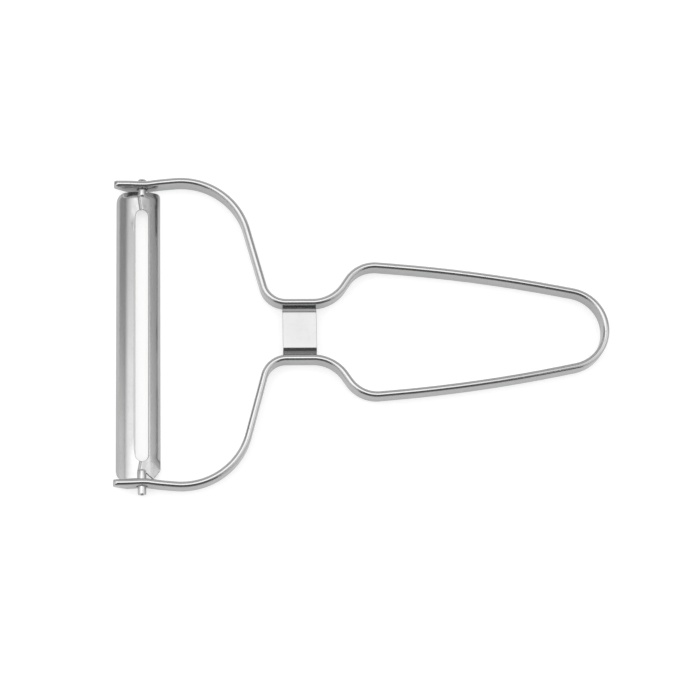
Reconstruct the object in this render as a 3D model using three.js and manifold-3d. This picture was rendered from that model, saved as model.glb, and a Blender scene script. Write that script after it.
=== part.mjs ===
// Peeling knife with a swivel blade, all in stainless steel.
// One flat strip, standing on edge, is bent into the fork, the waist and the handle loop.
// A bent bridge ties the waist, and a stamped blade turns on its own rolled pins between the arms.
// Millimetres. +X runs from the blade to the handle, +Y along the blade, +Z up from the table.

import * as THREE from 'three';
import { mergeVertices } from 'three/addons/utils/BufferGeometryUtils.js';
import Module from 'manifold-3d';

const wasm = await Module();
wasm.setup();

// Flat strip
const stripHeight = 5.5;
const stripThickness = 1.65;
const stripEdgeRadius = 0.5;
const armEndCornerRadius = 1.2;
const armEndSlantHeight = 3.1;
const armEndSlantLength = 3.6;

// Corners of the strip's centreline: x from the free ends of the arms, half spans from the long axis
const armEndHalfSpan = 38.55;
const pivotFlatLength = 8.7;
const joggleLength = 3.8;
const joggleStep = 0.4;
const joggleRadius = 6;
const forkCornerX = 29.7;
const forkCornerHalfSpan = 40.55;
const forkBendRadius = 17.2;
const waistStartX = 38.7;
const waistHalfSpan = 7.25;
const waistForkBendRadius = 5.8;
const waistEndX = 54.9;
const waistHandleBendRadius = 9.5;
const shoulderX = 61.6;
const shoulderHalfSpan = 17.15;
const shoulderBendRadius = 8.2;
const bowX = 91.2;
const bowHalfSpan = 14.7;
const bowRadius = 380;
const loopEndX = 124;
const loopEndHalfSpan = 8.2;

// Bridge across the waist
const bridgeLength = 8.5;
const bridgeSheet = 0.8;
const bridgeBendRadius = 2.2;
const bridgeTopDrop = 0.15;
const bridgeFootGap = 0.5;

// Blade
const pivotSetback = 7.1;
const pinRadius = 1.05;
const pinHoleClearance = 0.35;
const pinStandoutFar = 0.95;
const pinStandoutNear = 1.75;
const pinDepth = 0.6;
const bladeWidth = 11.2;
const bladeArchRise = 3;
const bladeSheet = 0.6;
const bladeForkCornerRadius = 2.6;
const bladeHandleCornerRadius = 1.4;
const bladeEndPlay = 0.5;
const bladeSlide = 0.15;
const slotWidth = 3.4;
const slotOffset = 1;
const slotShift = 0.2;
const slotEndLand = 4.7;
const bevelWidth = 0.4;
const bevelDepth = 0.25;
const reliefDepth = 2.1;
const reliefWidth = 2.6;

// Facets
const bendStep = THREE.MathUtils.degToRad(7);
const bowSteps = 6;
const edgeSteps = 2;
const roundEndSteps = 6;
const archSteps = 20;
const roundSteps = 24;
const cutMargin = 1;
const mergeDistance = 0.005;

// A rounding takes at most this share of the width it rounds
const roundingLimit = 0.49;

function toSolid(geometry) {
  const bare = new THREE.BufferGeometry();
  bare.setAttribute('position', geometry.getAttribute('position'));
  bare.setIndex(geometry.getIndex());
  const welded = mergeVertices(bare);
  return new wasm.Manifold(new wasm.Mesh({
    numProp: 3,
    vertProperties: new Float32Array(welded.getAttribute('position').array),
    triVerts: new Uint32Array(welded.getIndex().array),
  }));
}

function toGeometry(solid) {
  const mesh = solid.getMesh();
  const geometry = new THREE.BufferGeometry();
  geometry.setAttribute('position', new THREE.BufferAttribute(mesh.vertProperties, 3));
  geometry.setIndex(new THREE.BufferAttribute(mesh.triVerts, 1));
  geometry.computeVertexNormals();
  return geometry;
}

// A plan outline pushed up along Z, centred on height zero
function upright(shape, height) {
  const geometry = new THREE.ExtrudeGeometry(shape, {
    depth: height,
    bevelEnabled: false,
    curveSegments: roundSteps / 2,
  });
  return geometry.translate(0, 0, -height / 2);
}

// A cross-section drawn in x and z, pushed along Y and centred on zero
function lengthwise(shape, length, curveSegments) {
  const geometry = new THREE.ExtrudeGeometry(shape, {
    depth: length,
    bevelEnabled: false,
    curveSegments,
  });
  return geometry.translate(0, 0, -length / 2).rotateX(Math.PI / 2);
}

function polygon(points) {
  return new THREE.Shape(points.map(([x, y]) => new THREE.Vector2(x, y)));
}

// Centreline of the strip

function corner(x, y, radius, steps) {
  return { point: new THREE.Vector2(x, y), radius, steps };
}

function tangentLength(previous, here, next) {
  const back = previous.point.clone().sub(here.point).normalize();
  const ahead = next.point.clone().sub(here.point).normalize();
  const halfAngle = Math.acos(THREE.MathUtils.clamp(back.dot(ahead), -1, 1)) / 2;
  return { back, ahead, halfAngle, length: here.radius / Math.tan(halfAngle) };
}

// Rounds every inner corner. Where two bends need more than the run between them, both shrink to fit.
function roundedPath(corners) {
  const bends = corners.map((here, index) => {
    const inner = index > 0 && index < corners.length - 1;
    return inner ? tangentLength(corners[index - 1], here, corners[index + 1]) : { length: 0 };
  });
  const fit = corners.slice(1).map((here, index) => {
    const run = here.point.distanceTo(corners[index].point);
    return Math.min(1, run / (bends[index].length + bends[index + 1].length));
  });
  const stations = [];
  corners.forEach((here, index) => {
    const bend = bends[index];
    if (!bend.back) {
      const towards = index === 0 ? corners[1].point : corners[index - 1].point;
      const tangent = towards.clone().sub(here.point).normalize();
      stations.push({ point: here.point, tangent: index === 0 ? tangent : tangent.negate() });
      return;
    }
    const reach = bend.length * Math.min(fit[index - 1], fit[index]);
    const radius = reach * Math.tan(bend.halfAngle);
    const start = here.point.clone().addScaledVector(bend.back, reach);
    const tangent = bend.back.clone().negate();
    const turn = Math.PI - 2 * bend.halfAngle;
    const side = Math.sign(tangent.cross(bend.ahead));
    const centre = start.clone().add(new THREE.Vector2(-tangent.y, tangent.x).multiplyScalar(side * radius));
    const steps = here.steps ?? Math.max(2, Math.ceil(turn / bendStep));
    for (let step = 0; step <= steps; step++) {
      const angle = side * turn * step / steps;
      stations.push({
        point: start.clone().rotateAround(centre, angle),
        tangent: tangent.clone().rotateAround(new THREE.Vector2(), angle),
      });
    }
  });
  return stations.filter((here, index) => {
    return index === 0 || here.point.distanceTo(stations[index - 1].point) > mergeDistance;
  });
}

// The loop's end is one arc, so its radius follows from the slope of the sides it joins
const loopEndSlope = Math.atan2(bowHalfSpan - loopEndHalfSpan, loopEndX - bowX);
const loopEndRadius = loopEndHalfSpan * Math.tan(Math.PI / 4 + loopEndSlope / 2);

const halfCorners = [
  corner(0, armEndHalfSpan, 0),
  corner(pivotFlatLength, armEndHalfSpan, joggleRadius),
  corner(pivotFlatLength + joggleLength, armEndHalfSpan + joggleStep, joggleRadius),
  corner(forkCornerX, forkCornerHalfSpan, forkBendRadius),
  corner(waistStartX, waistHalfSpan, waistForkBendRadius),
  corner(waistEndX, waistHalfSpan, waistHandleBendRadius),
  corner(shoulderX, shoulderHalfSpan, shoulderBendRadius),
  corner(bowX, bowHalfSpan, bowRadius, bowSteps),
  corner(loopEndX, loopEndHalfSpan, loopEndRadius),
];
const mirrored = halfCorners.map(({ point, radius, steps }) => corner(point.x, -point.y, radius, steps));
const centreline = roundedPath([...halfCorners, ...mirrored.reverse()]);

// Frame: the strip's rounded section carried along the centreline, with shaped free ends

const edgeRadius = Math.min(stripEdgeRadius, roundingLimit * stripThickness);
const endFlat = edgeRadius / roundingLimit;
const endFit = Math.min(1, (stripHeight - endFlat) / (armEndCornerRadius + armEndSlantHeight));
const endCornerRadius = armEndCornerRadius * endFit;
const endSlantHeight = armEndSlantHeight * endFit;

function stripSection({ point, tangent, low, high }) {
  const across = new THREE.Vector2(-tangent.y, tangent.x);
  const ring = [];
  [[1, 1], [-1, 1], [-1, -1], [1, -1]].forEach(([side, up], quarter) => {
    for (let step = 0; step <= edgeSteps; step++) {
      const angle = (quarter + step / edgeSteps) * Math.PI / 2;
      const offset = side * (stripThickness / 2 - edgeRadius) + edgeRadius * Math.cos(angle);
      const edge = up > 0 ? high - edgeRadius : low + edgeRadius;
      const height = edge + edgeRadius * Math.sin(angle);
      const place = point.clone().addScaledVector(across, offset);
      ring.push(new THREE.Vector3(place.x, place.y, height));
    }
  });
  return ring;
}

// Stations of a free end, whose upper corner is rounded and whose lower corner is cut off at a slant
function shapedEnd(end, inward) {
  const distances = [armEndSlantLength];
  for (let step = roundEndSteps; step >= 0; step--) {
    distances.unshift(endCornerRadius * (1 - Math.cos(Math.PI / 2 * step / roundEndSteps)));
  }
  return distances.map((distance) => {
    const left = Math.max(endCornerRadius - distance, 0);
    const cornerDrop = endCornerRadius - Math.sqrt(endCornerRadius ** 2 - left ** 2);
    return {
      point: end.point.clone().addScaledVector(inward, distance),
      tangent: end.tangent,
      low: endSlantHeight * Math.max(1 - distance / armEndSlantLength, 0),
      high: stripHeight - cornerDrop,
    };
  });
}

function sweptStrip(stations) {
  const rings = stations.map(stripSection);
  const size = rings[0].length;
  const positions = rings.flat().flatMap((vertex) => vertex.toArray());
  const triangles = [];
  for (let ring = 0; ring < rings.length - 1; ring++) {
    for (let side = 0; side < size; side++) {
      const a = ring * size + side;
      const b = ring * size + (side + 1) % size;
      triangles.push(a, b, b + size, a, b + size, a + size);
    }
  }
  const last = (rings.length - 1) * size;
  for (let side = 1; side < size - 1; side++) {
    triangles.push(0, side + 1, side);
    triangles.push(last, last + side, last + side + 1);
  }
  const geometry = new THREE.BufferGeometry();
  geometry.setAttribute('position', new THREE.Float32BufferAttribute(positions, 3));
  geometry.setIndex(triangles);
  return geometry;
}

function makeFrame() {
  const first = centreline[0];
  const last = centreline[centreline.length - 1];
  const body = centreline.slice(1, -1).map((station) => ({ ...station, low: 0, high: stripHeight }));
  const strip = sweptStrip([
    ...shapedEnd(first, first.tangent),
    ...body,
    ...shapedEnd(last, last.tangent.clone().negate()).reverse(),
  ]);
  const holeRadius = pinRadius + pinHoleClearance;
  const holeLength = 2 * (armEndHalfSpan + stripThickness + cutMargin);
  const hole = new THREE.CylinderGeometry(holeRadius, holeRadius, holeLength, roundSteps);
  hole.translate(pivotSetback, 0, stripHeight / 2);
  return toGeometry(toSolid(strip).subtract(toSolid(hole)));
}

// Bridge: a flat plate level with the strip's upper edge, its sides bent down against the waist

function makeBridge() {
  const outer = waistHalfSpan - stripThickness / 2;
  const top = stripHeight - bridgeTopDrop;
  const radius = Math.min(bridgeBendRadius, outer, top - bridgeFootGap);
  const innerRadius = Math.max(radius - bridgeSheet, roundingLimit * bridgeSheet);
  const innerSide = outer - bridgeSheet;
  const innerTop = top - bridgeSheet;
  const profile = new THREE.Shape();
  profile.moveTo(-outer, bridgeFootGap);
  profile.lineTo(-outer, top - radius);
  profile.absarc(-outer + radius, top - radius, radius, Math.PI, Math.PI / 2, true);
  profile.lineTo(outer - radius, top);
  profile.absarc(outer - radius, top - radius, radius, Math.PI / 2, 0, true);
  profile.lineTo(outer, bridgeFootGap);
  profile.lineTo(innerSide, bridgeFootGap);
  profile.absarc(innerSide - innerRadius, innerTop - innerRadius, innerRadius, 0, Math.PI / 2, false);
  profile.absarc(-innerSide + innerRadius, innerTop - innerRadius, innerRadius, Math.PI / 2, Math.PI, false);
  profile.lineTo(-innerSide, bridgeFootGap);
  return lengthwise(profile, bridgeLength, roundSteps / 4).rotateZ(Math.PI / 2);
}

// Middle of the waist's straight run, between the bend out of the fork and the bend into the handle
function waistMiddle() {
  const straight = centreline.filter(({ point, tangent }) => {
    const level = Math.abs(tangent.y) < mergeDistance;
    return level && point.y > 0 && point.x > forkCornerX && point.x < shoulderX;
  });
  return (straight[0].point.x + straight[straight.length - 1].point.x) / 2;
}

// Blade: an arched sheet with a long slot, whose end tabs are rolled into pins.
// Its own origin is on the pin line, halfway along it.

const armInnerSpan = armEndHalfSpan - stripThickness / 2;
const armOuterSpan = armEndHalfSpan + stripThickness / 2;
const bladeHalfLength = armInnerSpan - bladeEndPlay;
const slotHalfLength = bladeHalfLength - slotEndLand;
const archRadius = (bladeWidth ** 2 / 4 + bladeArchRise ** 2) / (2 * bladeArchRise);
const archHalfAngle = Math.asin(THREE.MathUtils.clamp(bladeWidth / 2 / archRadius, -1, 1));
const archCentre = new THREE.Vector2(-slotOffset, pinDepth - Math.sqrt(archRadius ** 2 - slotOffset ** 2));
const tallCut = 2 * (bladeArchRise + pinRadius + cutMargin);

function archHeight(x) {
  return archCentre.y + Math.sqrt(archRadius ** 2 - (x - archCentre.x) ** 2);
}

function archedSheet() {
  const from = Math.PI / 2 - archHalfAngle;
  const to = Math.PI / 2 + archHalfAngle;
  const profile = new THREE.Shape();
  profile.absarc(archCentre.x, archCentre.y, archRadius, from, to, false);
  profile.absarc(archCentre.x, archCentre.y, archRadius - bladeSheet, to, from, true);
  return toSolid(lengthwise(profile, 2 * bladeHalfLength, archSteps));
}

function roundedPlan() {
  const right = archCentre.x + bladeWidth / 2;
  const left = archCentre.x - bladeWidth / 2;
  const limit = roundingLimit * bladeWidth;
  const fork = Math.min(bladeForkCornerRadius, limit);
  const handle = Math.min(bladeHandleCornerRadius, limit);
  const far = bladeHalfLength;
  const plan = new THREE.Shape();
  plan.absarc(right - handle, far - handle, handle, 0, Math.PI / 2, false);
  plan.absarc(left + fork, far - fork, fork, Math.PI / 2, Math.PI, false);
  plan.absarc(left + fork, fork - far, fork, Math.PI, 1.5 * Math.PI, false);
  plan.absarc(right - handle, handle - far, handle, 1.5 * Math.PI, 2 * Math.PI, false);
  return toSolid(upright(plan, tallCut));
}

function slotCut() {
  const radius = slotWidth / 2;
  const straight = slotHalfLength - radius;
  const plan = new THREE.Shape();
  plan.absarc(0, straight - slotShift, radius, 0, Math.PI, false);
  plan.absarc(0, -straight - slotShift, radius, Math.PI, 2 * Math.PI, false);
  return toSolid(upright(plan, tallCut));
}

// Ground facet on the cutting edge, along the wide side of the slot
function bevelCut() {
  const edge = -slotWidth / 2;
  const start = edge - bevelWidth;
  const low = archHeight(edge) - bevelDepth;
  const high = archHeight(start) + cutMargin;
  const profile = polygon([[start, archHeight(start)], [edge, low], [0, low], [0, high], [start, high]]);
  const facet = lengthwise(profile, 2 * slotHalfLength - slotWidth, 1);
  return toSolid(facet.translate(0, -slotShift, 0));
}

// Slanting relief beside the pin, on the handle side, where the tab was cut free to be rolled
function reliefCut(end) {
  const inner = end * (bladeHalfLength - reliefDepth);
  const mouth = end * bladeHalfLength;
  const outside = end * (bladeHalfLength + cutMargin);
  const plan = polygon([[0, inner], [reliefWidth, mouth], [reliefWidth, outside], [0, outside]]);
  return toSolid(upright(plan, tallCut));
}

// A rolled pin with the tapered ridge that carries it out of the sheet
function rolledPin(end) {
  const root = bladeHalfLength - reliefDepth;
  const slotEnd = slotHalfLength - end * slotShift;
  const pinEnd = armOuterSpan + (end > 0 ? pinStandoutFar : pinStandoutNear);
  const ridgeLength = root - slotEnd;
  const pinLength = pinEnd - root;
  const ridge = new THREE.CylinderGeometry(pinRadius, pinDepth, ridgeLength, roundSteps);
  ridge.translate(0, slotEnd + ridgeLength / 2, 0);
  const pin = new THREE.CylinderGeometry(pinRadius, pinRadius, pinLength, roundSteps);
  pin.translate(0, root + pinLength / 2, 0);
  const whole = toSolid(pin).add(toSolid(ridge));
  const bore = pinRadius - bladeSheet;
  const hollow = new THREE.CylinderGeometry(bore, bore, pinLength + cutMargin, roundSteps / 2);
  hollow.translate(0, root + (pinLength + cutMargin) / 2, 0);
  const rolled = whole.subtract(toSolid(hollow));
  return end > 0 ? rolled : rolled.rotate([180, 0, 0]);
}

function makeBlade() {
  let blade = archedSheet().intersect(roundedPlan());
  blade = blade.subtract(slotCut()).subtract(bevelCut());
  for (const end of [1, -1]) {
    blade = blade.subtract(reliefCut(end)).add(rolledPin(end));
  }
  return toGeometry(blade);
}

// Assembly

function steel(color, roughness) {
  return new THREE.MeshStandardMaterial({ color, roughness, metalness: 1 });
}

const frame = new THREE.Mesh(makeFrame(), steel(0xc4c6c8, 0.2));
frame.name = 'frame_strip';

const bridge = new THREE.Mesh(makeBridge(), steel(0xd6d8da, 0.12));
bridge.name = 'waist_bridge';
bridge.position.x = waistMiddle();

const blade = new THREE.Mesh(makeBlade(), steel(0xb4b6b8, 0.32));
blade.name = 'swivel_blade';
blade.position.set(pivotSetback, -bladeSlide, stripHeight / 2);

// The origin is on the table, under the middle of the part's length and of the pins' far ends
const overallLength = loopEndX + stripThickness / 2;
const pinLineMiddle = (pinStandoutFar - pinStandoutNear) / 2 - bladeSlide;
const peelingKnife = new THREE.Group();
peelingKnife.add(frame, bridge, blade);
peelingKnife.position.set(-overallLength / 2, -pinLineMiddle, 0);

export default peelingKnife;
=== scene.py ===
import bisect
import math
import bmesh
import bpy
from mathutils import Matrix, Vector
from mathutils.geometry import delaunay_2d_cdt


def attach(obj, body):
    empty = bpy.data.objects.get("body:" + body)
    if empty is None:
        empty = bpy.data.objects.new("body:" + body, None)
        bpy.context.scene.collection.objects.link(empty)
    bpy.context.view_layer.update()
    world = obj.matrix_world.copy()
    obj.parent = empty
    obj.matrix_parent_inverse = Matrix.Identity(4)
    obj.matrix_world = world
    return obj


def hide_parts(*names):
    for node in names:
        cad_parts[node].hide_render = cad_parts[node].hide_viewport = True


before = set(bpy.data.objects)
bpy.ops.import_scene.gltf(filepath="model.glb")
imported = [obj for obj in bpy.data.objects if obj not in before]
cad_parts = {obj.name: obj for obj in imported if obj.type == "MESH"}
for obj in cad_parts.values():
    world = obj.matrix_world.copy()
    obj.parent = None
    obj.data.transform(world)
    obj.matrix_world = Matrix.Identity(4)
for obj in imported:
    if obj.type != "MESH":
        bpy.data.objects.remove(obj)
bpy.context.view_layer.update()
mm = 0.001  # lengths are in mm up to the mesh, which is in metres
metre = 1000
tiny = 1e-6  # mm that count as nothing


def toLinear(hexText):
    # sRGB hex to the linear colour that shaders take
    channels = [int(hexText[i:i + 2], 16) / 255 for i in (1, 3, 5)]
    return tuple(c / 12.92 if c <= 0.04045 else ((c + 0.055) / 1.055) ** 2.4 for c in channels) + (1.0,)


def lerp(a, b, t):
    return a + (b - a) * t


def ease(t):
    t = min(1.0, max(0.0, t))
    return t * t * (3 - 2 * t)


# sheet metal, cut flat and then bent
# A blank is a set of closed loops in its flat plane. Each loop point is (u, v, inward u, inward v, cut).
# cut goes from 0, the sheet's own rounded edge, to 1, an edge that is ground to a facet or sheared off.

cornerStep = 6  # degrees of a rounded corner in one step
sharpAngle = 28  # degrees between two faces from which their edge is shaded as sharp


def arcPoints(cu, cv, radius, start, end, steps, inwardSign):
    points = []
    for k in range(steps + 1):
        angle = lerp(start, end, k / steps)
        c, s = math.cos(angle), math.sin(angle)
        points.append((cu + radius * c, cv + radius * s, inwardSign * c, inwardSign * s, 0.0))
    return points


def turnSide(back, ahead):
    # 1 where a line turns left at a corner, -1 where it turns right
    return 1.0 if -back.x * ahead.y + back.y * ahead.x > 0 else -1.0


def cornerArc(before, here, after, radius):
    # rounds one corner of a counterclockwise outline
    here = Vector(here)
    back, ahead = (Vector(before) - here).normalized(), (Vector(after) - here).normalized()
    inner, side = back.angle(ahead) / 2, turnSide(back, ahead)
    inward = Vector((back.y, -back.x))
    centre = here + back * (radius / math.tan(inner)) + inward * side * radius
    turn, points = side * (math.pi - 2 * inner), []
    steps = max(2, math.ceil(abs(turn) / math.radians(cornerStep)))
    for k in range(steps + 1):
        c, s = math.cos(turn * k / steps), math.sin(turn * k / steps)
        n = Vector((inward.x * c - inward.y * s, inward.x * s + inward.y * c))
        place = centre - n * side * radius
        points.append((place.x, place.y, n.x, n.y, 0.0))
    return points


def loopArcs(corners):
    # the rounded corners of a closed outline, from its corners as (u, v, radius)
    ring = corners[-1:] + corners + corners[:1]
    return [cornerArc(a[:2], b[:2], c[:2], b[2]) for a, b, c in zip(ring, ring[1:], ring[2:])]


def roundedLoop(corners, stepU, stepV, ground):
    # closed outline, counterclockwise, its sides split into steps.
    # ground lists the corners that a side ground to a facet starts from.
    arcs, points = loopArcs(corners), []
    for i, (arc, after) in enumerate(zip(arcs, arcs[1:] + arcs[:1])):
        points += arc
        (au, av, nu, nv, _), (bu, bv, _, _, _) = arc[-1], after[0]
        steps = max(1, math.ceil(abs(bu - au) / stepU), math.ceil(abs(bv - av) / stepV))
        cut = 1.0 if i in ground else 0.0
        points += [(lerp(au, bu, k / steps), lerp(av, bv, k / steps), nu, nv, cut) for k in range(1, steps)]
    return points


def edgeRings(sheet, edge, bevel=None):
    # pairs (inset from the outline, height over the mid sheet) from the upper flat to the lower one.
    # A narrow support ring keeps the shading of the rounded edge off the flat.
    half, steps = sheet["thickness"] / 2, sheet["edgeSteps"]
    upper = [(edge + sheet["support"], half)]
    for k in range(steps + 1):
        turn = math.pi / 2 * k / steps
        upper.append((edge * (1 - math.sin(turn)), half - edge * (1 - math.cos(turn))))
    lower = [(inset, -height) for inset, height in reversed(upper)]
    if bevel:
        width, depth = bevel
        upper = [(width + sheet["support"], half)]
        upper += [(width * (1 - k / steps), half - depth * k / steps) for k in range(steps + 1)]
    return upper + lower


def insideLoop(u, v, loop):
    inside = False
    for (au, av), (bu, bv) in zip(loop, loop[1:] + loop[:1]):
        if (av > v) != (bv > v) and u < (bu - au) * (v - av) / (bv - av) + au:
            inside = not inside
    return inside


def bentSheet(name, sheet, loops, seeds, bend):
    # loops are (points, edge radius), the outline before its holes. seeds are points of the flat between.
    # bend turns (u, v, height over the mid sheet) into a place in mm.
    bm = bmesh.new()
    flatVerts, flatEdges, topVerts, lowVerts, outlines = [], [], [], [], []
    for points, edge in loops:
        plainRings = edgeRings(sheet, edge)
        cutRings = edgeRings(sheet, sheet.get("shearedEdge", edge), sheet.get("bevel"))
        rings = []
        for (plainInset, plainHeight), (cutInset, cutHeight) in zip(plainRings, cutRings):
            ring = []
            for u, v, iu, iv, cut in points:
                inset, height = lerp(plainInset, cutInset, cut), lerp(plainHeight, cutHeight, cut)
                ring.append(bm.verts.new(bend(u + iu * inset, v + iv * inset, height) * mm))
                if not rings:
                    flatVerts.append(Vector((u + iu * inset, v + iv * inset)))
            rings.append(ring)
        count = len(points)
        first = len(flatVerts) - count
        outlines.append([tuple(p) for p in flatVerts[first:]])
        flatEdges += [(first + i, first + (i + 1) % count) for i in range(count)]
        topVerts += rings[0]
        lowVerts += rings[-1]
        for a, b in zip(rings, rings[1:]):
            for i in range(count):
                k = (i + 1) % count
                bm.faces.new((a[i], a[k], b[k], b[i]))
    half = sheet["thickness"] / 2
    for u, v in seeds:
        flatVerts.append(Vector((u, v)))
        topVerts.append(bm.verts.new(bend(u, v, half) * mm))
        lowVerts.append(bm.verts.new(bend(u, v, -half) * mm))
    insideOnly = 1  # leaves out the triangles past the outline
    verts, _, faces, origin, _, _ = delaunay_2d_cdt(flatVerts, flatEdges, [], insideOnly, tiny)
    for face in faces:
        mid = sum((verts[i] for i in face), Vector((0, 0))) / len(face)
        if any(insideLoop(mid.x, mid.y, hole) for hole in outlines[1:]):
            continue
        ids = [origin[i][0] for i in face]
        bm.faces.new([topVerts[i] for i in ids])
        bm.faces.new([lowVerts[i] for i in reversed(ids)])
    bmesh.ops.recalc_face_normals(bm, faces=bm.faces)
    return meshObject(name, bm)


def meshObject(name, bm):
    mesh = bpy.data.meshes.new(name)
    bm.to_mesh(mesh)
    bm.free()
    obj = bpy.data.objects.new(name, mesh)
    bpy.context.scene.collection.objects.link(obj)
    return obj


def smooth(obj):
    obj.data.polygons.foreach_set("use_smooth", [True] * len(obj.data.polygons))
    obj.data.set_sharp_from_angle(angle=math.radians(sharpAngle))


def weld(obj, other):
    # union of two closed meshes, kept as obj
    mod = obj.modifiers.new("weld", "BOOLEAN")
    mod.operation = "UNION"
    mod.solver = "EXACT"
    mod.object = other
    depsgraph = bpy.context.evaluated_depsgraph_get()
    mesh = bpy.data.meshes.new_from_object(obj.evaluated_get(depsgraph))
    obj.modifiers.remove(mod)
    bm = bmesh.new()
    bm.from_mesh(mesh)
    sliver = 0.001 * mm  # the seam leaves edges shorter than this
    bmesh.ops.remove_doubles(bm, verts=bm.verts, dist=sliver)
    bmesh.ops.dissolve_degenerate(bm, edges=bm.edges, dist=sliver)
    bmesh.ops.triangulate(bm, faces=bm.faces)
    bm.to_mesh(mesh)
    bm.free()
    obj.data = mesh
    bpy.data.objects.remove(other)


# frame strip

strip = {
    "height": 5.5, "thickness": 1.65, "length": 124.825, "axisY": 0.55,
    # the drawn strip's rounded edge, and the sharper one of its sheared ends
    "edge": 0.75, "shearedEdge": 0.25, "support": 0.02, "edgeSteps": 6,
    "endCorner": 1.2, "slantHeight": 3.1, "slantLength": 3.6, "slantCorner": 1.0,
    # corners of half the centreline: x from the arm ends, distance from the long axis, bend radius
    "corners": [
        (0, 38.55, 0), (8.7, 38.55, 6), (12.5, 38.95, 6), (29.7, 40.55, 17.2), (38.7, 7.25, 5.8),
        (54.9, 7.25, 9.5), (61.6, 17.15, 8.2), (91.2, 14.7, 380), (124, 8.2, None),
    ],
    # mesh stations: degrees of a bend, mm of a straight run, gap from the end corners
    "bendStep": 2.0, "straightStep": 6.0, "cornerGap": 0.2,
    "holeRadius": 1.4, "holeEdge": 0.15, "holeSteps": 48,
    # shallow dish pressed inward round each pin hole: depth, half widths along and up the strip
    "dish": (0.2, 1.7, 3.2),
    # finer mesh over the dish: its stations, and the heights and gaps of the points between them
    "dishStep": 0.5, "dishReach": 5.0, "dishGap": 0.3,
    "seedHeights": (-1.6, -0.8, 0, 0.8, 1.6), "holeGap": 0.35, "endGap": 1.0,
}
# pin line: distance from the arm ends, radius of the pins, depth of their axis under the blade's upper face
pivot = {"setback": 7.1, "pinRadius": 1.05, "pinDepth": 0.6}


def centreline(corners):
    # lines and arcs as (start, length, point, heading, curvature)
    loopEnd, bow = corners[-1], corners[-2]
    slope = math.atan2(bow[1] - loopEnd[1], loopEnd[0] - bow[0])
    endRadius = loopEnd[1] * math.tan(math.pi / 4 + slope / 2)  # closes the loop in one arc
    half = corners[:-1] + [(loopEnd[0], loopEnd[1], endRadius)]
    whole = half + [(x, -y, r) for x, y, r in reversed(half)]
    runs, at, here = [], 0.0, Vector(whole[0][:2])
    for before, (x, y, radius), after in zip(whole, whole[1:], whole[2:]):
        corner = Vector((x, y))
        back, ahead = (Vector(before[:2]) - corner).normalized(), (Vector(after[:2]) - corner).normalized()
        inner = back.angle(ahead) / 2
        reach = radius / math.tan(inner)
        start = corner + back * reach
        straight = (start - here).dot(-back)
        if straight > tiny:
            runs.append((at, straight, here, -back, 0.0))
            at += straight
        arcLength = radius * (math.pi - 2 * inner)
        runs.append((at, arcLength, start, -back, turnSide(back, ahead) / radius))
        at += arcLength
        here = corner + ahead * reach
    last, end = Vector(whole[-2][:2]), Vector(whole[-1][:2])
    runs.append((at, (end - here).length, here, (end - last).normalized(), 0.0))
    return runs


stripRuns = centreline(strip["corners"])
stripStarts = [run[0] for run in stripRuns]
stripLength = stripRuns[-1][0] + stripRuns[-1][1]


def alongStrip(s):
    start, _, point, heading, curvature = stripRuns[max(0, bisect.bisect_right(stripStarts, s) - 1)]
    run = s - start
    if not curvature:
        return point + heading * run, heading
    cosTurn, sinTurn = math.cos(run * curvature), math.sin(run * curvature)
    normal = Vector((-heading.y, heading.x))
    place = point + (heading * sinTurn + normal * (1 - cosTurn)) / curvature
    return place, heading * cosTurn + normal * sinTurn


def bendStrip(s, z, offset):
    depth, wide, high = strip["dish"]
    fromPin = min(abs(s - pivot["setback"]), abs(stripLength - pivot["setback"] - s))
    offset -= depth * math.exp(-0.5 * ((fromPin / wide) ** 2 + (z / high) ** 2))
    point, heading = alongStrip(s)
    x = point.x - heading.y * offset - strip["length"] / 2
    y = point.y + heading.x * offset + strip["axisY"]
    return Vector((x, y, z + strip["height"] / 2))


def dishStations(pin):
    steps = round(strip["dishReach"] / strip["dishStep"])
    return [pin + strip["dishStep"] * k for k in range(-steps, steps + 1)]


def stripStations(pins):
    stations = [s for pin in pins for s in dishStations(pin)]
    clear = strip["dishReach"] + strip["dishGap"]
    for start, length, _, _, curvature in stripRuns:
        turn = math.degrees(abs(curvature) * length)
        steps = max(2, math.ceil(turn / strip["bendStep"]), math.ceil(length / strip["straightStep"]))
        run = [start + length * k / steps for k in range(steps)]
        stations += [s for s in run if all(abs(s - pin) > clear for pin in pins)]
    return sorted(stations)


def shearedArc(arc, first, last):
    # the drawn strip's round edge runs out into the sharper edge of its sheared ends
    steps = len(arc) - 1
    return [(u, v, iu, iv, lerp(first, last, k / steps)) for k, (u, v, iu, iv, _) in enumerate(arc)]


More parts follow.
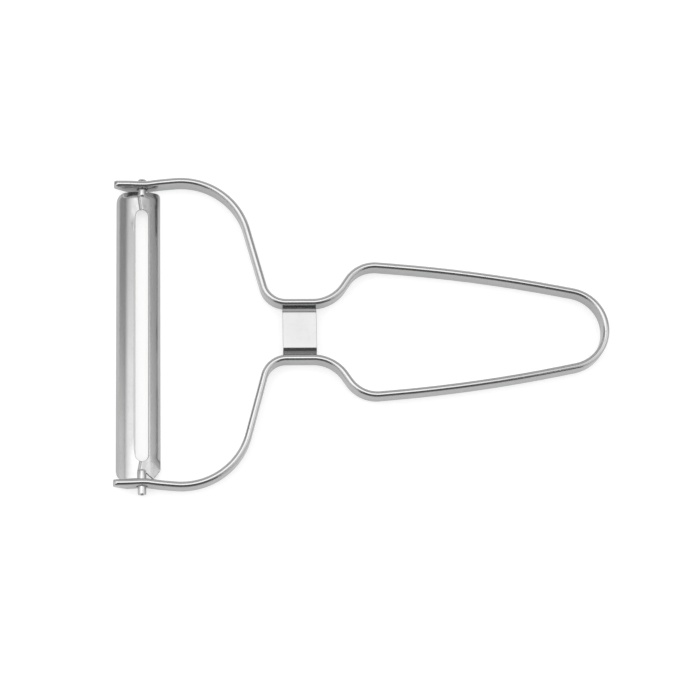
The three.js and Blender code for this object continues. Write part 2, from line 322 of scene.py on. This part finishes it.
def buildStrip():
    half, slant, cutCorner = strip["height"] / 2, strip["slantLength"], strip["slantCorner"]
    low = strip["slantHeight"] - half
    pins = (pivot["setback"], stripLength - pivot["setback"])
    corners = [(0, half, strip["endCorner"]), (0, low, cutCorner), (slant, -half, cutCorner)]
    corners += [(stripLength - u, v, r) for u, v, r in reversed(corners)]
    arcs = loopArcs(corners)
    startArcs = shearedArc(arcs[0], 0, 1) + shearedArc(arcs[1], 1, 1) + shearedArc(arcs[2], 1, 0)
    endArcs = shearedArc(arcs[3], 0, 1) + shearedArc(arcs[4], 1, 1) + shearedArc(arcs[5], 1, 0)
    stations, gap = stripStations(pins), strip["cornerGap"]
    lower = [s for s in stations if startArcs[-1][0] + gap < s < endArcs[0][0] - gap]
    upper = [s for s in stations if startArcs[0][0] + gap < s < endArcs[-1][0] - gap]
    outer = startArcs + [(s, -half, 0, 1, 0) for s in lower]
    outer += endArcs + [(s, half, 0, -1, 0) for s in reversed(upper)]
    loops, seeds = [(outer, strip["edge"])], []
    for pin in pins:
        circle = arcPoints(pin, 0, strip["holeRadius"], 0, 2 * math.pi, strip["holeSteps"], 1)[:-1]
        loops.append((circle, strip["holeEdge"]))
        for s in dishStations(pin):
            inEnd = min(s, stripLength - s)
            slantEdge = low - inEnd * strip["slantHeight"] / slant
            for z in strip["seedHeights"]:
                clearEnd = inEnd > strip["endGap"] and z > slantEdge + strip["endGap"]
                if clearEnd and math.hypot(s - pin, z) > strip["holeRadius"] + strip["holeGap"]:
                    seeds.append((s, z))
    return bentSheet("frame_strip_bent", strip, loops, seeds, bendStrip)


# waist bridge

bridge = {
    "length": 8.5, "thickness": 0.8, "edge": 0.12, "support": 0.02, "edgeSteps": 4,
    "bend": 2.2, "top": 5.35, "foot": 0.5, "halfSpan": 6.425, "corner": 0.5,
    # a weld seam fills the foot of the groove beside the strip: degrees of the bend where it starts,
    # degrees it rises over, and the gap it leaves to the strip
    "seam": (50, 8), "seamGap": 0.015,
    # mesh steps, and the shares of the half length where rows of points run across
    "flangeSteps": 3, "bendSteps": 36, "plateSteps": 12, "cornerSteps": 6, "seedShares": (-0.5, 0, 0.5),
}


def waistMiddle():
    # middle of the straight run along the waist, past the fork's corner
    fork = strip["corners"][3][0]
    level = [run for run in stripRuns if not run[4] and abs(run[3].y) < tiny and run[2].x > fork]
    return level[0][2].x + level[0][1] / 2 - strip["length"] / 2


def bridgeRuns():
    mid = bridge["bend"] - bridge["thickness"] / 2
    flange = bridge["top"] - bridge["bend"] - bridge["foot"]
    plate = 2 * (bridge["halfSpan"] - bridge["bend"])
    return mid, flange, plate, mid * math.pi / 2


def bendBridge(u, v, height):
    # u runs up one flange, over the plate and down the other; v runs along X
    mid, _, plate, arc = bridgeRuns()
    side = 1 if u > 0 else -1
    d = abs(u)
    out, top = bridge["halfSpan"] - bridge["bend"], bridge["top"] - bridge["bend"]
    if d < plate / 2:
        y, z = d, bridge["top"] - bridge["thickness"] / 2 + height
    elif d < plate / 2 + arc:
        turn = (d - plate / 2) / mid
        y, z = out + (mid + height) * math.sin(turn), top + (mid + height) * math.cos(turn)
        start, rise = (math.radians(a) for a in bridge["seam"])
        fill = ease((turn - start) / rise) * max(0, height) / (bridge["thickness"] / 2)
        y = lerp(y, max(y, bridge["halfSpan"] - bridge["seamGap"]), fill)
    else:
        y, z = out + mid + height, top - (d - plate / 2 - arc)
    return Vector((v + waistMiddle(), side * y + strip["axisY"], z))


def buildBridge():
    _, flange, plate, arc = bridgeRuns()
    halfU, halfV, r = plate / 2 + arc + flange, bridge["length"] / 2, bridge["corner"]
    flangeSteps, bendSteps, plateSteps = bridge["flangeSteps"], bridge["bendSteps"], bridge["plateSteps"]
    rows = [flange * k / flangeSteps for k in range(1, flangeSteps)]
    rows += [flange + arc * k / bendSteps for k in range(bendSteps + 1)]
    rows += [flange + arc + plate * k / plateSteps for k in range(1, plateSteps)]
    rows += [flange + arc + plate + arc * k / bendSteps for k in range(bendSteps + 1)]
    rows += [2 * halfU - flange * k / flangeSteps for k in range(flangeSteps - 1, 0, -1)]
    us = [row - halfU for row in rows if r < row < 2 * halfU - r]
    inU, inV, quarter, steps = halfU - r, halfV - r, math.pi / 2, bridge["cornerSteps"]
    arcs = [arcPoints(cu, cv, r, k * quarter, (k + 1) * quarter, steps, -1)
            for k, (cu, cv) in enumerate(((inU, inV), (-inU, inV), (-inU, -inV), (inU, -inV)))]
    outer = arcs[0] + [(u, halfV, 0, -1, 0) for u in reversed(us)] + arcs[1]
    outer += arcs[2] + [(u, -halfV, 0, 1, 0) for u in us] + arcs[3]
    seeds = [(u, halfV * share) for u in us for share in bridge["seedShares"]]
    return bentSheet("waist_bridge_bent", bridge, [(outer, bridge["edge"])], seeds, bendBridge)


# swivel blade

blade = {
    "width": 11.2, "rise": 3.0, "thickness": 0.6, "halfLength": 37.225, "middleY": 0.4, "cornerFork": 2.8,
    "edge": 0.16, "slotEdge": 0.1, "support": 0.02, "edgeSteps": 4,
    # the ground edge: width and depth of its facet, and the length it runs out over at the slot's ends
    "bevel": (0.4, 0.25), "bevelFade": 2.0,
    # beside each pin a slanting relief runs from its root out to a lobe on the handle side:
    # depth and place of the lobe, and place of the root
    "reliefFar": (1.0, 1.6), "reliefNear": (2.1, 2.9), "reliefRoot": 0.1, "reliefFillet": 0.3,
    # the far lobe has a round corner, and the near one is cut at a slant and ground there
    "lobeCorner": 1.2, "slantLength": 2.4, "slantCorner": 1.2,
    "slotWidth": 3.4, "slotOffset": 1.0, "slotHalf": 32.525, "slotShift": 0.2,
    # a groove beside the rolled pin runs from the slot to its root: place at each, depth, half width,
    # and the place past the slot's end and the length over which it sets in
    "groove": (-0.3, -0.85), "grooveDepth": 0.3, "grooveHalf": 0.42,
    "grooveStart": -0.16, "grooveFade": 0.2,
    # beside the slot the cutting side runs straight from this slope, so its edge stands a little proud
    "lipSlope": 20, "lipFade": 3.0,
    # the two lobes of the far end droop over this length, clear of the pin
    "droopLength": 1.8, "droopSlope": 17, "droopBend": 0.6, "droopClear": 0.6, "droopFade": 0.8,
    # past the slot's near end the handle side runs straight from this slope
    "tabSlope": 27, "tabStart": -0.5, "tabFade": 1.0,
    # mesh steps, then rows of points: distance from the blade's ends, gap from the outlines
    "acrossStep": 0.22, "alongStep": 1.5, "slotRoundSteps": 32, "rowEnd": 2.5, "rowGap": 0.75,
    # finer rows at the far end and two at the near end, with smaller gaps
    "endStep": 0.25, "farRows": 8, "farGap": 0.28, "nearRows": (0.6, 1.4), "nearGap": 0.4,
    # columns of points along the groove: step, count on each side, gap from the outlines and from the rows
    "columnStep": 0.09, "columns": 6, "columnGap": 0.24, "columnClear": 0.15,
}
archRadius = (blade["width"] ** 2 / 4 + blade["rise"] ** 2) / (2 * blade["rise"])
archMid = archRadius - blade["thickness"] / 2
archX = -blade["slotOffset"]
archZ = pivot["pinDepth"] - math.sqrt(archRadius ** 2 - blade["slotOffset"] ** 2)
pivotPlace = Vector((pivot["setback"] - strip["length"] / 2, blade["middleY"], strip["height"] / 2))

rolledPin = {
    # places along the pin line from the blade's middle
    "tipFar": 40.325, "tipNear": 41.125, "rootFar": 36.2, "rootNear": 35.3,
    # round cap of the root, and rounding of the tip with its turns in radians
    "cap": 0.6, "capSteps": 10, "tipRound": 0.2, "tipTurns": (0, 0.5, 1.0, 1.57),
    # the bore's chamfer, and its end and the point of its end past the root
    "boreChamfer": 0.12, "boreEnd": 0.5, "borePoint": 0.3, "steps": 40,
}


def pinRoot(end):
    return rolledPin["rootFar"] if end > 0 else rolledPin["rootNear"]


def pastSlotEnd(v):
    return abs(v + blade["slotShift"]) - blade["slotHalf"]


def groovePlace(v):
    run = pinRoot(v) - blade["slotHalf"]
    return lerp(*blade["groove"], min(1, max(0, pastSlotEnd(v) / run)))


def flatU(x):
    # place on the flat blank that bends to this x from the pin line
    return archMid * math.asin((x - archX) / archRadius)


def bendBlade(u, v, height):
    turn, reach = u / archMid, archMid + height
    x, z = archX + reach * math.sin(turn), archZ + reach * math.cos(turn)
    lip, tab = -math.radians(blade["lipSlope"]), math.radians(blade["tabSlope"])
    fromEnd = blade["slotHalf"] - blade["slotWidth"] / 2 - abs(v + blade["slotShift"])
    pastSlot = -v - blade["slotHalf"] - blade["slotShift"] - blade["tabStart"]
    # straight lip beside the slot
    if lip < turn < flatU(0) / archMid and fromEnd > 0:
        run, weight = (turn - lip) * archMid, ease(fromEnd / blade["lipFade"])
        x = lerp(x, archX + reach * math.sin(lip) + run * math.cos(lip), weight)
        z = lerp(z, archZ + reach * math.cos(lip) - run * math.sin(lip), weight)
    # straight tab at the near end
    if turn > tab and pastSlot > 0:
        line = archZ + reach * math.cos(tab) - (x - archX - reach * math.sin(tab)) * math.tan(tab)
        z = lerp(z, line, ease(pastSlot / blade["tabFade"]))
    # groove beside the pin
    aside = abs(x - groovePlace(v)) / blade["grooveHalf"]
    if aside < 1:
        hollow = blade["grooveDepth"] * (1 + math.cos(math.pi * aside)) / 2
        z -= hollow * ease((pastSlotEnd(v) - blade["grooveStart"]) / blade["grooveFade"])
    # drooping lobes of the far end
    past = v - blade["halfLength"] + blade["droopLength"]
    if past > 0:
        bend = blade["droopBend"]
        drop = past ** 2 / (2 * bend) if past < bend else past - bend / 2
        clear = ease((abs(x) - blade["droopClear"]) / blade["droopFade"])
        z -= drop * math.tan(math.radians(blade["droopSlope"])) * clear
    return pivotPlace + Vector((x, v, z))


def bladeOutline():
    half = archMid * math.asin(blade["width"] / 2 / archRadius)
    end, fillet = blade["halfLength"], blade["reliefFillet"]

    def pinSide(relief):
        # from the lobe on the handle side past the pin to the fork's corner
        depth, lobe = relief
        return [(flatU(lobe), end, fillet), (flatU(blade["reliefRoot"]), end - depth, fillet),
                (flatU(0), end, fillet), (-half, end, blade["cornerFork"])]

    far = [(half, end, blade["lobeCorner"])] + pinSide(blade["reliefFar"])
    near = [(half, end - blade["slantLength"], blade["slantCorner"])] + pinSide(blade["reliefNear"])
    corners = far + [(u, -v, r) for u, v, r in reversed(near)]
    slantStart = len(corners) - 2
    return roundedLoop(corners, blade["acrossStep"], blade["alongStep"], (slantStart,)), half


def alongRows(limit):
    count = math.ceil(2 * limit / blade["alongStep"])
    return [lerp(-limit, limit, k / count) for k in range(1, count)]


def slotOutline():
    left, right = flatU(-blade["slotWidth"] / 2), flatU(blade["slotWidth"] / 2)
    mid, r, shift = (left + right) / 2, (right - left) / 2, blade["slotShift"]
    straight, fade, steps = blade["slotHalf"] - r, blade["bevelFade"], blade["slotRoundSteps"]
    rows = alongRows(straight)
    loop = arcPoints(mid, straight - shift, r, 0, math.pi, steps, 1)
    loop += [(left, v - shift, -1, 0, min(1, (straight - abs(v)) / fade)) for v in reversed(rows)]
    loop += arcPoints(mid, -straight - shift, r, math.pi, 2 * math.pi, steps, 1)
    loop += [(right, v - shift, 1, 0, 0) for v in rows]
    return loop


def clearOf(u, v, loops, gap):
    return all((u - p[0]) ** 2 + (v - p[1]) ** 2 > gap * gap for loop in loops for p in loop)


def besideGroove(u, v):
    reach = blade["columnStep"] * blade["columns"] + blade["columnClear"]
    return pastSlotEnd(v) > 0 and abs(u - flatU(groovePlace(v))) < reach


def grooveSeeds(end):
    start = blade["slotHalf"] - end * blade["slotShift"]
    count = round((blade["halfLength"] - start) / blade["endStep"])
    rows = [end * lerp(start, blade["halfLength"], k / count) for k in range(1, count)]
    columns = [blade["columnStep"] * k for k in range(-blade["columns"], blade["columns"] + 1)]
    return [(flatU(groovePlace(v)) + offset, v) for v in rows for offset in columns]


def turnedPin(end):
    # rolled pin with its bore, rounded where it rises out of the sheet
    root, cap, capSteps = pinRoot(end), rolledPin["cap"], rolledPin["capSteps"]
    tip = rolledPin["tipFar"] if end > 0 else rolledPin["tipNear"]
    r, bore = pivot["pinRadius"], pivot["pinRadius"] - blade["thickness"]
    soft, chamfer = rolledPin["tipRound"], rolledPin["boreChamfer"]
    turns = [math.pi / 2 * k / capSteps for k in range(capSteps + 1)]
    profile = [(root - cap * math.cos(t), r * math.sin(t)) for t in turns]
    profile += [(tip - soft + soft * math.sin(t), r - soft + soft * math.cos(t))
                for t in rolledPin["tipTurns"]]
    profile += [(tip, bore + chamfer), (tip - chamfer, bore)]
    profile += [(root + rolledPin["boreEnd"], bore), (root + rolledPin["borePoint"], 0.0)]
    bm = bmesh.new()
    steps, rings = rolledPin["steps"], []
    for y, radius in profile:
        if radius == 0.0:
            rings.append([bm.verts.new((pivotPlace + Vector((0, end * y, 0))) * mm)])
            continue
        ring = []
        for k in range(steps):
            turn = 2 * math.pi * k / steps
            offset = Vector((radius * math.cos(turn), end * y, radius * math.sin(turn)))
            ring.append(bm.verts.new((pivotPlace + offset) * mm))
        rings.append(ring)
    for a, b in zip(rings, rings[1:]):
        for k in range(steps):
            n = (k + 1) % steps
            corners = [a[k % len(a)], a[n % len(a)], b[n % len(b)], b[k % len(b)]]
            bm.faces.new(list(dict.fromkeys(corners)))
    bmesh.ops.recalc_face_normals(bm, faces=bm.faces)
    return meshObject("pin", bm)


def buildBlade():
    outer, half = bladeOutline()
    slot = slotOutline()
    outlines = [[(p[0], p[1]) for p in loop] for loop in (outer, slot)]
    end, acrossCount = blade["halfLength"], math.ceil(2 * half / blade["acrossStep"])
    rows = [(v, blade["rowGap"]) for v in alongRows(end - blade["rowEnd"])]
    rows += [(end - blade["endStep"] * k, blade["farGap"]) for k in range(1, blade["farRows"] + 1)]
    rows += [(inset - end, blade["nearGap"]) for inset in blade["nearRows"]]
    seeds = []
    for v, gap in rows:
        for k in range(1, acrossCount):
            u = lerp(-half, half, k / acrossCount)
            onSheet = insideLoop(u, v, outlines[0]) and not insideLoop(u, v, outlines[1])
            if onSheet and not besideGroove(u, v) and clearOf(u, v, outlines, gap):
                seeds.append((u, v))
    for side in (1, -1):
        seeds += [p for p in grooveSeeds(side) if clearOf(*p, outlines, blade["columnGap"])]
    loops = [(outer, blade["edge"]), (slot, blade["slotEdge"])]
    obj = bentSheet("swivel_blade_bent", blade, loops, seeds, bendBlade)
    for side in (1, -1):
        weld(obj, turnedPin(side))
    return obj


# materials

mixFirst, mixSecond, mixResult = 6, 7, 2  # colour sockets of a Mix node


def addNode(tree, kind, settings=None, links=None):
    node = tree.nodes.new(kind)
    for key, value in (settings or {}).items():
        if isinstance(key, int) or key in node.inputs:
            node.inputs[key].default_value = value
        else:
            setattr(node, key, value)
    for key, source in (links or {}).items():
        tree.links.new(source, node.inputs[key])
    return node


finish = {
    # detail of the three noise patterns, and depth of the grain in mm
    "grainDetail": 3.0, "smearDetail": 4.0, "tickDetail": 2.0, "grainDepth": 0.02,
    # pointiness from a flat face to a rubbed edge, and the part of the noise that shows as marks
    "edgeRange": (0.5, 0.58), "tickRange": (0.56, 0.72),
}


def steel(name, look):
    material = bpy.data.materials.new(name)
    material.use_nodes = True
    tree = material.node_tree
    tree.nodes.clear()
    place = addNode(tree, "ShaderNodeTexCoord").outputs["Object"]
    drawn = addNode(tree, "ShaderNodeMapping", {"Scale": [metre / size for size in look["grain"]]},
                    {"Vector": place})
    grain = addNode(tree, "ShaderNodeTexNoise", {"Scale": 1.0, "Detail": finish["grainDetail"]},
                    {"Vector": drawn.outputs[0]})
    smears = addNode(tree, "ShaderNodeTexNoise",
                     {"Scale": metre / look["smear"], "Detail": finish["smearDetail"]}, {"Vector": place})
    ticks = addNode(tree, "ShaderNodeTexNoise",
                    {"Scale": metre / look["tick"], "Detail": finish["tickDetail"]}, {"Vector": place})
    # edges rubbed bright by use, found from how sharply the surface bends
    flat, sharp = finish["edgeRange"]
    pointiness = addNode(tree, "ShaderNodeNewGeometry").outputs["Pointiness"]
    edges = addNode(tree, "ShaderNodeMapRange",
                    {"From Min": flat, "From Max": sharp, "To Max": look["wear"]}, {"Value": pointiness})
    polish = addNode(tree, "ShaderNodeMath", {"operation": "MULTIPLY"},
                     {0: grain.outputs["Fac"], 1: smears.outputs["Fac"]})
    rough = addNode(tree, "ShaderNodeMapRange", {"To Min": look["rough"][0], "To Max": look["rough"][1]},
                    {"Value": polish.outputs[0]})
    faint, full = finish["tickRange"]
    marks = addNode(tree, "ShaderNodeMapRange",
                    {"From Min": faint, "From Max": full, "To Max": look["marks"]},
                    {"Value": ticks.outputs["Fac"]})
    dulled = addNode(tree, "ShaderNodeMath", {"operation": "ADD"},
                     {0: rough.outputs[0], 1: marks.outputs[0]})
    plain, dull, bright = (toLinear(tone) for tone in look["tones"])
    mottled = addNode(tree, "ShaderNodeMix", {"data_type": "RGBA", mixFirst: plain, mixSecond: dull},
                      {0: smears.outputs["Fac"]})
    rubbed = addNode(tree, "ShaderNodeMix", {"data_type": "RGBA", mixSecond: bright},
                     {0: edges.outputs[0], mixFirst: mottled.outputs[mixResult]})
    bump = addNode(tree, "ShaderNodeBump",
                   {"Strength": look["bump"], "Distance": finish["grainDepth"] * mm},
                   {"Height": grain.outputs["Fac"]})
    shader = addNode(tree, "ShaderNodeBsdfPrincipled", {"Metallic": 1.0},
                     {"Base Color": rubbed.outputs[mixResult], "Roughness": dulled.outputs[0],
                      "Normal": bump.outputs[0]})
    addNode(tree, "ShaderNodeOutputMaterial", None, {"Surface": shader.outputs[0]})
    return material


# Sizes are in mm. Real drawing and grinding lines are near 0.05 mm across, too fine for a view
# of the whole tool, so they are drawn about 0.4 mm across.
# drawn bright and tumbled: a clean mirror-like band along the rounded edge, with small handling marks
stripSteel = steel("stainless_strip_drawn_and_tumbled", {
    "tones": ("#bababa", "#b0b0b0", "#c4c4c4"), "rough": (0.08, 0.2),
    "bump": 0.06, "grain": (7, 7, 0.4), "smear": 8, "tick": 0.9, "marks": 0.16, "wear": 0.35})
# cold rolled and left bright: one even, pale plate with a faint haze
bridgeSteel = steel("stainless_sheet_cold_rolled_bright", {
    "tones": ("#b2b2b2", "#aaaaaa", "#c4c4c4"), "rough": (0.12, 0.2),
    "bump": 0.015, "grain": (8, 0.45, 0.45), "smear": 6, "tick": 1.1, "marks": 0.04, "wear": 0.35})
# belt ground along its length: soft light to dark bands over the arch, a bright ground edge
bladeSteel = steel("stainless_blade_belt_ground", {
    "tones": ("#c2c2c2", "#b8b8b8", "#d0d0d0"), "rough": (0.16, 0.3),
    "bump": 0.12, "grain": (0.4, 8, 0.4), "smear": 8, "tick": 0.8, "marks": 0.05, "wear": 0.3})

print("stage: pieces")
for build, node, body, slotName, material in (
    (buildStrip, "frame_strip", "frame", "polished_strip", stripSteel),
    (buildBridge, "waist_bridge", "frame", "polished_sheet", bridgeSteel),
    (buildBlade, "swivel_blade", "blade", "ground_blade", bladeSteel),
):
    piece = build()
    smooth(piece)
    piece.data.materials.clear()
    piece.data.materials.append(material)
    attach(piece, body)
    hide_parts(node)
    print("piece", piece.name, len(piece.data.polygons), "faces")


# stage, in metres

stage = {
    # glow of the floor as the camera sees it, and as it is mirrored in the steel
    "floorHalf": 1.5, "floorColour": "#b4b4b4", "floorSeen": 0.62, "floorMirrored": 0.38,
    "worldLevel": 0.12,
}


def buildFloor():
    bm = bmesh.new()
    bmesh.ops.create_grid(bm, x_segments=2, y_segments=2, size=stage["floorHalf"])
    floor = meshObject("floor", bm)
    material = bpy.data.materials.new("pale_paper_floor")
    material.use_nodes = True
    tree = material.node_tree
    tree.nodes.clear()
    rays = addNode(tree, "ShaderNodeLightPath")
    mirrored = addNode(tree, "ShaderNodeMath", {"operation": "MULTIPLY", 1: stage["floorMirrored"]},
                       {0: rays.outputs["Is Glossy Ray"]})
    level = addNode(tree, "ShaderNodeMath", {"operation": "MULTIPLY_ADD", 1: stage["floorSeen"]},
                    {0: rays.outputs["Is Camera Ray"], 2: mirrored.outputs[0]})
    paper = addNode(tree, "ShaderNodeBsdfDiffuse", {"Color": toLinear(stage["floorColour"])})
    glow = addNode(tree, "ShaderNodeEmission", {"Color": (1, 1, 1, 1)}, {"Strength": level.outputs[0]})
    both = addNode(tree, "ShaderNodeAddShader", None, {0: paper.outputs[0], 1: glow.outputs[0]})
    addNode(tree, "ShaderNodeOutputMaterial", None, {"Surface": both.outputs[0]})
    floor.data.materials.append(material)


def buildWorld():
    world = bpy.data.worlds.new("studio")
    bpy.context.scene.world = world
    world.use_nodes = True
    background = world.node_tree.nodes["Background"]
    background.inputs["Color"].default_value = (1, 1, 1, 1)
    background.inputs["Strength"].default_value = stage["worldLevel"]


# each fade is (axis, start, end, level at start, level at end), across the room.
# The steel doesn't mirror a lamp with mirrored set to False.
lamps = {
    "overhead_panel": {
        "place": (-0.15, 0.205, 0.9), "aim": (-0.15, 0.205, 0), "size": (2.7, 0.75), "radiance": 1.95,
        "fades": [("X", -1.5, -0.25, 0.6, 1.0), ("X", 0.1, 0.22, 1.0, 0.6),
                  ("X", 0.45, 0.95, 1.0, 1.35), ("Y", 0.22, 0.52, 1.0, 0.33)]},
    "back_card": {"place": (0, 0.9, 0.42), "aim": (0, 0, 0), "size": (2.6, 1.0), "radiance": 0.7},
    "left_card": {
        "place": (-0.6, -0.15, 0.16), "aim": (0, -0.15, 0.16), "size": (1.4, 0.31), "radiance": 1.0,
        "fades": [("Y", 0.08, 0.17, 1.0, 0.27)]},
    "right_card": {
        "place": (0.65, -0.15, 0.24), "aim": (0, -0.15, 0.24), "size": (1.5, 0.47), "radiance": 1.0,
        "fades": [("Y", 0.06, 0.25, 1.0, 0.47), ("Y", 0.33, 0.45, 1.0, 0.4), ("Z", 0.18, 0.42, 0.76, 1.0)]},
    "front_left_panel": {
        "place": (-0.875, -0.46, 0.9), "aim": (-0.875, -0.46, 0), "size": (1.05, 0.58), "radiance": 1.2},
    "front_right_panel": {
        "place": (0.775, -0.46, 0.9), "aim": (0.775, -0.46, 0), "size": (0.85, 0.58), "radiance": 1.0},
    "front_card": {"place": (0, -1.1, 0.55), "aim": (0, 0, 0), "size": (1.2, 0.45), "radiance": 0.15},
    "floor_fill": {
        "place": (0, 0, 1.2), "aim": (0, 0, 0), "size": (2.5, 2.5), "radiance": 0.5, "mirrored": False},
}


def fadeLamp(lamp, fades):
    lamp.use_nodes = True
    tree = lamp.node_tree
    tree.nodes.clear()
    spot = addNode(tree, "ShaderNodeNewGeometry").outputs["Position"]
    axes = addNode(tree, "ShaderNodeSeparateXYZ", None, {0: spot})
    level = None
    for axis, start, end, first, last in fades:
        limits = {"From Min": start, "From Max": end, "To Min": first, "To Max": last}
        step = addNode(tree, "ShaderNodeMapRange", {"interpolation_type": "SMOOTHSTEP", **limits},
                       {"Value": axes.outputs[axis]})
        if level is not None:
            step = addNode(tree, "ShaderNodeMath", {"operation": "MULTIPLY"},
                           {0: step.outputs[0], 1: level})
        level = step.outputs[0]
    glow = addNode(tree, "ShaderNodeEmission", {"Color": (1, 1, 1, 1)}, {"Strength": level})
    addNode(tree, "ShaderNodeOutputLight", None, {"Surface": glow.outputs[0]})


def buildLamp(name, settings):
    width, height = settings["size"]
    lamp = bpy.data.lights.new(name, "AREA")
    lamp.shape = "RECTANGLE"
    lamp.size, lamp.size_y = width, height
    lamp.energy = settings["radiance"] * math.pi * width * height
    if "fades" in settings:
        fadeLamp(lamp, settings["fades"])
    obj = bpy.data.objects.new(name, lamp)
    ahead = Vector(settings["aim"]) - Vector(settings["place"])
    obj.location = settings["place"]
    obj.rotation_euler = ahead.to_track_quat("-Z", "Y").to_euler()
    obj.visible_glossy = settings.get("mirrored", True)
    bpy.context.scene.collection.objects.link(obj)


# the photograph's view: mm and degrees, and the near clip in metres
view = {
    "target": (-3.44, -4.90, 5.5), "distance": 600, "azimuth": 14.84, "elevation": 75, "roll": 14.07,
    "lens": 123.4, "sensor": 36, "nearClip": 0.01,
}


def buildCamera():
    az, el, roll = (math.radians(view[k]) for k in ("azimuth", "elevation", "roll"))
    ahead = Vector((math.sin(az) * math.cos(el), math.cos(az) * math.cos(el), -math.sin(el)))
    right = ahead.cross(Vector((0, 0, 1))).normalized()
    up = right.cross(ahead)
    across = right * math.cos(roll) + up * math.sin(roll)
    high = up * math.cos(roll) - right * math.sin(roll)
    camera = bpy.data.cameras.new("camera")
    camera.lens = view["lens"]
    camera.sensor_width = view["sensor"]
    camera.clip_start = view["nearClip"]
    obj = bpy.data.objects.new("camera", camera)
    turn = Matrix((across, high, -ahead)).transposed().to_4x4()
    obj.matrix_world = Matrix.Translation((Vector(view["target"]) - ahead * view["distance"]) * mm) @ turn
    bpy.context.scene.collection.objects.link(obj)
    bpy.context.scene.camera = obj


print("stage: floor, light and camera")
buildFloor()
buildWorld()
for name, settings in lamps.items():
    buildLamp(name, settings)
buildCamera()
bpy.context.scene.view_settings.view_transform = "Standard"
